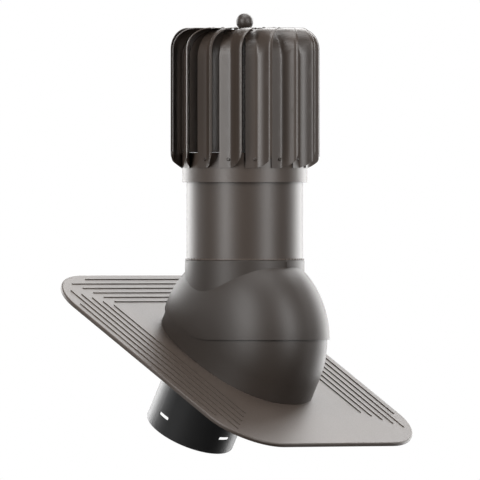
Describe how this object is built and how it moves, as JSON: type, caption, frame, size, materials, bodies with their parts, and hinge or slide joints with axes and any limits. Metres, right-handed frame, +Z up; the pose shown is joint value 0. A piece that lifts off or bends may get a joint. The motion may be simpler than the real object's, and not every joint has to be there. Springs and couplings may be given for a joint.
{
  "type": "wind-driven roof ventilator",
  "caption": "Roof ventilator for a pitched roof: a tilting hood and twin-wall pipe carry a free-spinning vaned turbine above a ribbed base plate and duct spigot.",
  "frame": {"origin": "the outlet pipe's axis where it meets the plane of the roof plate's underside", "axes": "+Z up along the outlet pipe and turbine axis, +X along the eave and the tilt axis, -Y down the roof slope; the plate slopes 30 degrees"},
  "size_m": [0.44, 0.4749, 0.7188],
  "materials": {
    "plate_polymer": "fine-grained matt",
    "hood_polymer": "fine-grained matt",
    "pipe_polymer": "fine-grained matt",
    "ring_polymer": "matt",
    "black_polymer": "matt",
    "bush_polymer": "matt",
    "finial_polymer": "satin",
    "seal_foam": "open-cell foam",
    "insulation_foam": "foam",
    "sleeve_rubber": "matt",
    "zinc_steel": "zinc plated",
    "galvanised_sheet": "galvanised",
    "spindle_steel": "ground",
    "bearing_steel": "polished",
    "painted_screws": "matt",
    "skirt_paint": "matt",
    "vane_paint": "matt",
    "rivet_paint": "matt",
    "cast_alloy": "cast"
  },
  "bodies": {
    "roof_base": {"roof_plate": "plate_polymer", "perimeter_seal": "seal_foam", "duct_spigot": "black_polymer", "spigot_screws": "zinc_steel", "lower_dome": "hood_polymer", "dome_foot_screws": "zinc_steel", "pivot_bush_left": "bush_polymer", "pivot_bush_right": "bush_polymer"},
    "tilting_head": {"hood": "hood_polymer", "outer_pipe": "pipe_polymer", "inner_duct": "galvanised_sheet", "insulation_sleeve": "insulation_foam", "closing_ring_lower": "black_polymer", "closing_ring_upper": "black_polymer", "castellated_ring": "ring_polymer", "collar_screws": "painted_screws", "tilt_yoke": "galvanised_sheet", "pivot_pin_left": "zinc_steel", "pivot_pin_right": "zinc_steel", "yoke_rivets": "zinc_steel", "flexible_sleeve": "sleeve_rubber", "bearing_spider": "galvanised_sheet", "spider_screws": "zinc_steel", "spindle": "spindle_steel", "spindle_spacer": "spindle_steel", "spindle_lock_ring": "zinc_steel", "spindle_collar": "spindle_steel", "lower_bearing_inner_race": "bearing_steel", "upper_bearing_inner_race": "bearing_steel"},
    "turbine": {"skirt_ring": "skirt_paint", "vane_01": "vane_paint", "vane_02": "vane_paint", "vane_03": "vane_paint", "vane_04": "vane_paint", "vane_05": "vane_paint", "vane_06": "vane_paint", "vane_07": "vane_paint", "vane_08": "vane_paint", "vane_09": "vane_paint", "vane_10": "vane_paint", "vane_11": "vane_paint", "vane_12": "vane_paint", "vane_13": "vane_paint", "vane_14": "vane_paint", "vane_15": "vane_paint", "lower_rivets": "rivet_paint", "upper_rivets": "rivet_paint", "top_disc": "vane_paint", "upper_hub": "cast_alloy", "hub_bolts": "zinc_steel", "rotor_spider": "galvanised_sheet", "rotor_spider_rivets": "rivet_paint", "finial_ball": "finial_polymer", "finial_stud": "zinc_steel", "finial_washer": "zinc_steel", "lower_bearing_outer_race": "bearing_steel", "upper_bearing_outer_race": "bearing_steel", "lower_bearing_balls": "bearing_steel", "upper_bearing_balls": "bearing_steel"}
  },
  "joints": [
    {"name": "pitch_adjust", "type": "hinge", "parent": "roof_base", "child": "tilting_head", "pos_m": [0, 0, 0.048], "axis": [1, 0, 0], "range_deg": [-2, 15], "deforming": ["flexible_sleeve"]},
    {"name": "turbine_spin", "type": "hinge", "parent": "tilting_head", "child": "turbine", "pos_m": [0, 0, 0.35], "axis": [0, 0, 1], "continuous": true}
  ]
}
